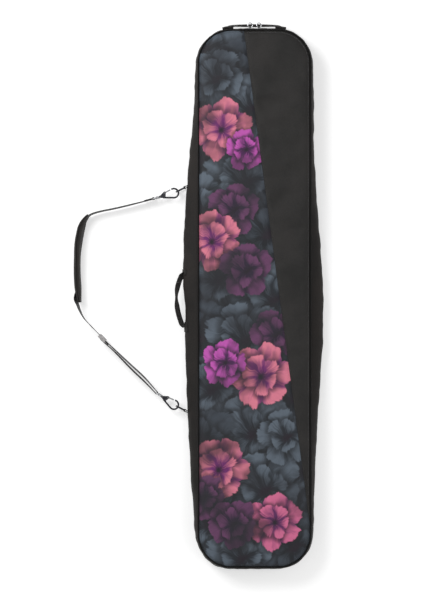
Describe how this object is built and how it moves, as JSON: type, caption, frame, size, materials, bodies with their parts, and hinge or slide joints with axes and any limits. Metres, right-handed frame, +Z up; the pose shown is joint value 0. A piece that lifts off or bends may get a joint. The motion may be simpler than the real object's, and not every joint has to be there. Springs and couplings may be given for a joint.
{
  "type": "snowboard bag",
  "caption": "Padded snowboard bag with a zipped hinged front, shoulder strap on swivel hooks, side and end carry handles and two zip pulls.",
  "frame": {"origin": "centre of the back face, on the floor that the bag lies on", "axes": "+Y along the bag to the end where the zip sliders meet, +Z up out of the front panel, +X to the right of the front panel"},
  "size_m": [0.7371, 1.6134, 0.1031],
  "materials": {
    "nylon_black": "woven nylon",
    "nylon_print": "printed woven nylon",
    "padding": "closed-cell foam",
    "lining": "plain lining",
    "piping": "covered cord",
    "webbing": "woven polypropylene webbing",
    "zip_tape": "zip tape",
    "zip_chain": "coil",
    "dark_metal": "dark nickel",
    "bright_metal": "bright",
    "pad_cover": "mesh and nylon",
    "glide": "moulded"
  },
  "bodies": {
    "base": {"back_panel": "nylon_black", "back_foam": "padding", "body_lining": "lining", "back_piping": "piping", "gusset_left": "nylon_black", "gusset_right": "nylon_black", "gusset_top": "nylon_black", "gusset_bottom": "nylon_black", "gusset_foam_left": "padding", "gusset_foam_right": "padding", "gusset_foam_top": "padding", "gusset_foam_bottom": "padding", "zip_tape_base": "zip_tape", "zip_chain_base": "zip_chain", "zip_stops": "bright_metal", "hinge_strip": "nylon_black", "ring_tab_upper": "webbing", "ring_tab_lower": "webbing", "side_handle_patches": "webbing", "side_handle_legs": "webbing", "top_handle_patches": "webbing", "top_handle_legs": "webbing"},
    "lid": {"front_foam": "padding", "front_print_panel": "nylon_print", "front_plain_panel": "nylon_black", "front_lining": "lining", "front_piping": "piping", "zip_chain_lid": "zip_chain", "zip_tape_lid": "zip_tape"},
    "slider_left": {"zip_slider_left": "dark_metal"},
    "slider_right": {"zip_slider_right": "dark_metal"},
    "pull_left": {"zip_pull_left": "bright_metal"},
    "pull_right": {"zip_pull_right": "bright_metal"},
    "strap": {"strap_webbing": "webbing", "strap_adjuster": "glide", "shoulder_pad": "pad_cover", "hook_eye_upper": "bright_metal", "hook_eye_lower": "bright_metal"},
    "upper_hook": {"hook_upper": "dark_metal", "gate_pin_upper": "bright_metal"},
    "lower_hook": {"hook_lower": "dark_metal", "gate_pin_lower": "bright_metal"},
    "upper_gate": {"hook_gate_upper": "bright_metal"},
    "lower_gate": {"hook_gate_lower": "bright_metal"},
    "upper_ring": {"d_ring_upper": "dark_metal"},
    "lower_ring": {"d_ring_lower": "dark_metal"},
    "side_grip": {"side_handle_grip": "webbing"},
    "top_grip": {"top_handle_grip": "webbing"}
  },
  "joints": [
    {"name": "lid_open", "type": "hinge", "parent": "base", "child": "lid", "pos_m": [0.166, 0, 0.0881], "axis": [0, 1, 0], "range_deg": [0, 170]},
    {"name": "slider_left_travel", "type": "slide", "parent": "base", "child": "slider_left", "axis": [-1, 0, 0], "range_m": [0, 0.048]},
    {"name": "slider_right_travel", "type": "slide", "parent": "base", "child": "slider_right", "axis": [1, 0, 0], "range_m": [0, 0.048]},
    {"name": "pull_left_turn", "type": "hinge", "parent": "slider_left", "child": "pull_left", "pos_m": [-0.013, 0.7986, 0.0738], "axis": [1, 0, 0], "range_deg": [-85, 85]},
    {"name": "pull_right_turn", "type": "hinge", "parent": "slider_right", "child": "pull_right", "pos_m": [0.013, 0.7986, 0.0738], "axis": [1, 0, 0], "range_deg": [-85, 85]},
    {"name": "strap_swing", "type": "hinge", "parent": "base", "child": "strap", "pos_m": [-0.22619, 0, 0.027], "axis": [0, 1, 0], "range_deg": [0, 70]},
    {"name": "upper_hook_swivel", "type": "hinge", "parent": "strap", "child": "upper_hook", "pos_m": [-0.23822, 0.31232, 0.027], "axis": [0.9659, 0.2588, 0], "range_deg": [-15, 15]},
    {"name": "lower_hook_swivel", "type": "hinge", "parent": "strap", "child": "lower_hook", "pos_m": [-0.23822, -0.31432, 0.027], "axis": [0.8241, -0.5664, 0], "range_deg": [-15, 15]},
    {"name": "upper_gate_open", "type": "hinge", "parent": "upper_hook", "child": "upper_gate", "pos_m": [-0.26588, 0.31319, 0.027], "axis": [0, 0, 1], "range_deg": [-30, 0], "stiffness_Nm_per_rad": 0.02, "springref_deg": 17.19},
    {"name": "lower_gate_open", "type": "hinge", "parent": "lower_hook", "child": "lower_gate", "pos_m": [-0.25553, -0.29272, 0.027], "axis": [0, 0, 1], "range_deg": [-30, 0], "stiffness_Nm_per_rad": 0.02, "springref_deg": 17.19},
    {"name": "upper_ring_turn", "type": "hinge", "parent": "base", "child": "upper_ring", "pos_m": [-0.20605, 0.32871, 0.027], "axis": [0, 0, -1], "range_deg": [-3, 3]},
    {"name": "lower_ring_turn", "type": "hinge", "parent": "base", "child": "lower_ring", "pos_m": [-0.20605, -0.33071, 0.027], "axis": [0, 0, 1], "range_deg": [-3, 3]},
    {"name": "side_handle_swing", "type": "hinge", "parent": "base", "child": "side_grip", "pos_m": [-0.212, -0.004, 0.0345], "axis": [0, 1, 0], "range_deg": [-45, 45], "deforming": ["side_handle_legs"]},
    {"name": "top_handle_swing", "type": "hinge", "parent": "base", "child": "top_grip", "pos_m": [0, 0.802, 0.0345], "axis": [1, 0, 0], "range_deg": [-20, 20], "deforming": ["top_handle_legs"]}
  ]
}
